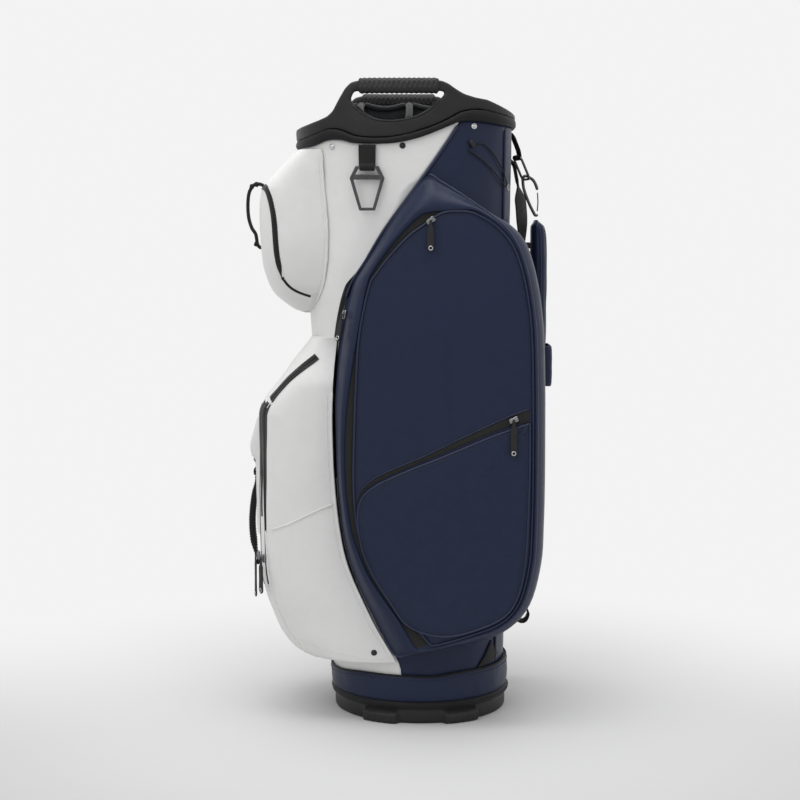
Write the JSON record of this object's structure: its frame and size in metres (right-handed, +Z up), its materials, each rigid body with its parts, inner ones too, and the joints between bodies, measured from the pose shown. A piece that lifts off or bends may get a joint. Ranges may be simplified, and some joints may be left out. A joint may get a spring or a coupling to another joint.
{
  "type": "golf cart bag",
  "caption": "Golf cart bag with a moulded base and collar, full-length dividers, zipped side and front pockets and a clipped shoulder strap.",
  "frame": {"origin": "centre of the base's underside, on the floor", "axes": "+Z up, -X towards the front pockets, +X towards the spine and the shoulder strap, -Y the side with the towel ring and the hip pocket"},
  "size_m": [0.4375, 0.3374, 0.9],
  "materials": {
    "white_cloth": "coated cloth with a soft sheen and a fine grain",
    "navy_cloth": "coated cloth with a soft sheen and a fine grain",
    "black_moulding": "fine moulded texture",
    "black_cloth": "woven webbing and mesh",
    "grey_fleece": "brushed fleece",
    "foam": "closed-cell foam",
    "gunmetal": "dark polished metal",
    "chrome": "bright plated metal",
    "pull_rubber": "soft moulded rubber"
  },
  "bodies": {
    "bag": {"apparel_pocket_far": "navy_cloth", "apparel_pocket_near": "navy_cloth", "base_band": "navy_cloth", "base_pad": "foam", "base_piping": "black_cloth", "base_shell": "black_moulding", "collar": "black_moulding", "collar_band": "black_cloth", "cord_anchor": "black_moulding", "divider_cross_back": "grey_fleece", "divider_cross_front": "grey_fleece", "divider_cross_middle": "grey_fleece", "divider_long_1": "grey_fleece", "divider_long_2": "grey_fleece", "divider_long_3": "grey_fleece", "divider_long_4": "grey_fleece", "elastic_cord": "black_cloth", "front_pull_loop": "black_cloth", "grab_handle": "black_cloth", "grip_far": "black_cloth", "grip_near": "black_cloth", "hip_pocket": "navy_cloth", "lower_front_pocket": "white_cloth", "lower_strap_loop": "black_cloth", "navy_panel_far": "navy_cloth", "navy_panel_near": "navy_cloth", "rivet_back": "chrome", "rivet_bottom": "chrome", "rivet_front": "chrome", "rivet_middle": "chrome", "small_front_pocket": "white_cloth", "spine_panel": "navy_cloth", "stay_far": "foam", "stay_near": "foam", "strap_clip": "black_moulding", "strap_pad": "navy_cloth", "strap_sleeve": "navy_cloth", "strap_tab": "black_cloth", "strap_tail": "black_cloth", "strap_webbing": "black_cloth", "towel_loop": "black_cloth", "upper_front_pocket": "white_cloth", "white_panel": "white_cloth"},
    "towel_ring": {"towel_ring": "gunmetal"},
    "strap_ring": {"strap_ring": "gunmetal"},
    "carabiner": {"carabiner": "gunmetal"},
    "carabiner_gate": {"carabiner_gate": "chrome"},
    "slider_apparel_near": {"slider_apparel_near": "gunmetal"},
    "pull_apparel_near": {"pull_apparel_near": "pull_rubber"},
    "slider_hip": {"slider_hip": "gunmetal"},
    "pull_hip": {"pull_hip": "pull_rubber"},
    "slider_boundary": {"slider_boundary": "gunmetal"},
    "pull_boundary": {"pull_boundary": "pull_rubber"},
    "slider_front_side": {"slider_front_side": "gunmetal"},
    "pull_front_side": {"pull_front_side": "pull_rubber"},
    "slider_front_face": {"slider_front_face": "gunmetal"},
    "pull_front_face": {"pull_front_face": "pull_rubber"},
    "slider_apparel_far": {"slider_apparel_far": "gunmetal"},
    "pull_apparel_far": {"pull_apparel_far": "pull_rubber"}
  },
  "joints": [
    {"name": "towel_ring_swing", "type": "hinge", "parent": "bag", "child": "towel_ring", "pos_m": [-0.0745, -0.134, 0.7785], "axis": [-1, 0, 0], "range_deg": [0, 100]},
    {"name": "strap_ring_swing", "type": "hinge", "parent": "bag", "child": "strap_ring", "pos_m": [0.1395, 0, 0.7985], "axis": [-0.2756, 0.9613, 0], "range_deg": [-5, 5]},
    {"name": "carabiner_swing", "type": "hinge", "parent": "strap_ring", "child": "carabiner", "pos_m": [0.15295, 0.00386, 0.76751], "axis": [0, 1, 0], "range_deg": [-8.1, 8.1]},
    {"name": "carabiner_gate_swing", "type": "hinge", "parent": "carabiner", "child": "carabiner_gate", "pos_m": [0.1692, 0.00386, 0.72], "axis": [0, -1, 0], "range_deg": [0, 22], "stiffness_Nm_per_rad": 0.01, "springref_deg": -8.59},
    {"name": "zip_apparel_near_slide", "type": "slide", "parent": "bag", "child": "slider_apparel_near", "axis": [-0.7915, 0, -0.6112], "range_m": [0, 0.05]},
    {"name": "pull_apparel_near_swing", "type": "hinge", "parent": "slider_apparel_near", "child": "pull_apparel_near", "pos_m": [0.012, -0.1674, 0.706], "axis": [-1, 0, 0], "range_deg": [0, 150]},
    {"name": "zip_hip_slide", "type": "slide", "parent": "bag", "child": "slider_hip", "axis": [-0.9256, 0, -0.3784], "range_m": [0, 0.145]},
    {"name": "pull_hip_swing", "type": "hinge", "parent": "slider_hip", "child": "pull_hip", "pos_m": [0.126, -0.1674, 0.4345], "axis": [-1, 0, 0], "range_deg": [0, 150]},
    {"name": "zip_boundary_slide", "type": "slide", "parent": "bag", "child": "slider_boundary", "axis": [-0.135, 0, -0.9908], "range_m": [0, 0.07]},
    {"name": "pull_boundary_swing", "type": "hinge", "parent": "slider_boundary", "child": "pull_boundary", "pos_m": [-0.10983, -0.14206, 0.578], "axis": [-0.6159, 0.7878, 0], "range_deg": [0, 150]},
    {"name": "zip_front_side_slide", "type": "slide", "parent": "bag", "child": "slider_front_side", "axis": [0, 0, 1], "range_m": [0, 0.18]},
    {"name": "pull_front_side_swing", "type": "hinge", "parent": "slider_front_side", "child": "pull_front_side", "pos_m": [-0.22592, -0.10444, 0.232], "axis": [-0.6, 0.8, 0], "range_deg": [0, 150]},
    {"name": "zip_front_face_slide", "type": "slide", "parent": "bag", "child": "slider_front_face", "axis": [0, 0, 1], "range_m": [0, 0.18]},
    {"name": "pull_front_face_swing", "type": "hinge", "parent": "slider_front_face", "child": "pull_front_face", "pos_m": [-0.23568, -0.07578, 0.232], "axis": [-0.2402, 0.9707, 0], "range_deg": [0, 150]},
    {"name": "zip_apparel_far_slide", "type": "slide", "parent": "bag", "child": "slider_apparel_far", "axis": [-0.7915, 0, -0.6112], "range_m": [0, 0.05]},
    {"name": "pull_apparel_far_swing", "type": "hinge", "parent": "slider_apparel_far", "child": "pull_apparel_far", "pos_m": [0.012, 0.1674, 0.706], "axis": [1, 0, 0], "range_deg": [0, 150]}
  ],
  "couplings": [
    {"joint": "carabiner_swing", "follows": "strap_ring_swing", "ratio": -1.6}
  ]
}
